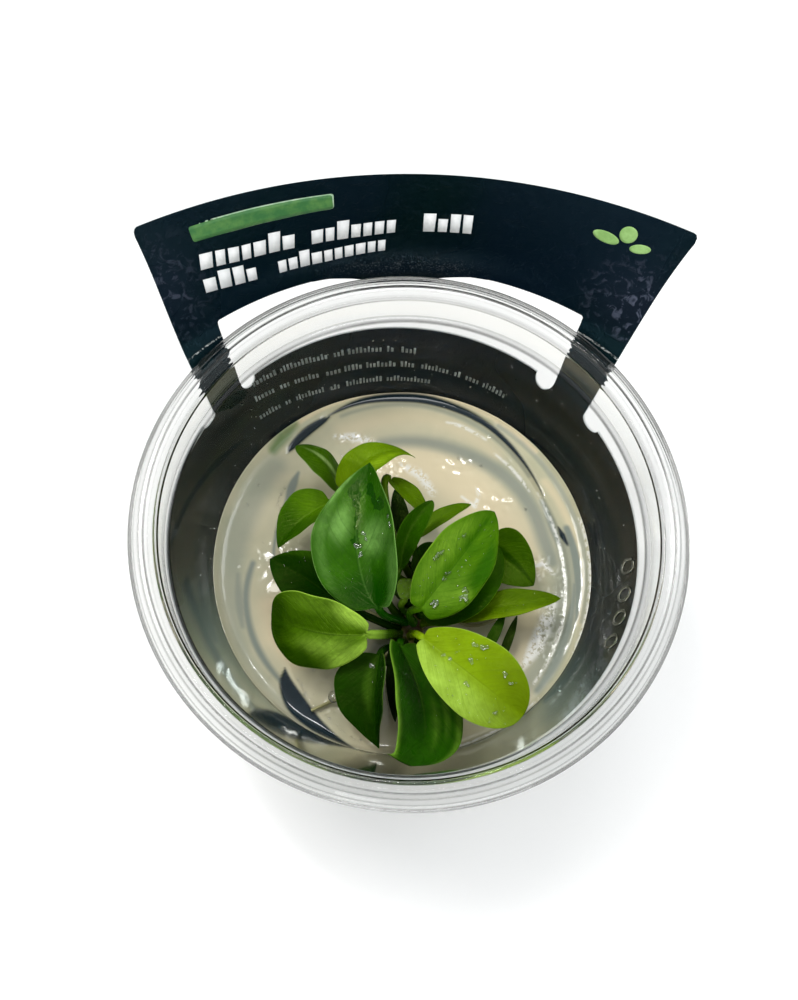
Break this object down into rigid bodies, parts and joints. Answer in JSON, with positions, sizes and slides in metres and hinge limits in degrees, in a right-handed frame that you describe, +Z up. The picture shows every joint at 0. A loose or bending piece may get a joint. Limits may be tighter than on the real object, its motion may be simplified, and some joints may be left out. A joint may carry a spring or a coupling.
{
  "type": "tissue culture aquarium plant",
  "caption": "Leafy dwarf aquarium plant on a pad of nutrient gel in a clear lipped cup, with a dark card sleeve round the cup whose fan-shaped header stands up behind the rim.",
  "frame": {"origin": "centre of the cup's flat base, on the surface it stands on", "axes": "+Z up along the cup's axis; +Y from the axis towards the middle of the card header at the back; +X to the right of someone who looks at the header from the front"},
  "size_m": [0.1018, 0.1089, 0.068],
  "materials": {
    "clear_cup": "clear gloss",
    "nutrient_gel": "wet, cloudy",
    "printed_card": "laminated gloss",
    "rhizome": "matte",
    "leaf_bright": "waxy",
    "leaf_fresh": "waxy",
    "leaf_deep": "waxy",
    "leaf_dark": "waxy"
  },
  "bodies": {
    "root": {"cup": "clear_cup", "gel": "nutrient_gel", "card_sleeve": "printed_card", "rhizome": "rhizome", "leaf_01": "leaf_deep", "leaf_02": "leaf_fresh", "leaf_03": "leaf_fresh", "leaf_04": "leaf_bright", "leaf_05": "leaf_dark", "leaf_06": "leaf_dark", "leaf_07": "leaf_dark", "leaf_08": "leaf_dark", "leaf_09": "leaf_deep", "leaf_10": "leaf_fresh", "leaf_11": "leaf_bright", "leaf_12": "leaf_fresh", "leaf_13": "leaf_deep", "leaf_14": "leaf_dark", "leaf_15": "leaf_fresh", "leaf_16": "leaf_fresh", "leaf_17": "leaf_deep", "leaf_18": "leaf_dark", "leaf_19": "leaf_fresh", "leaf_20": "leaf_deep", "leaf_21": "leaf_dark", "leaf_22": "leaf_dark"}
  },
  "joints": []
}
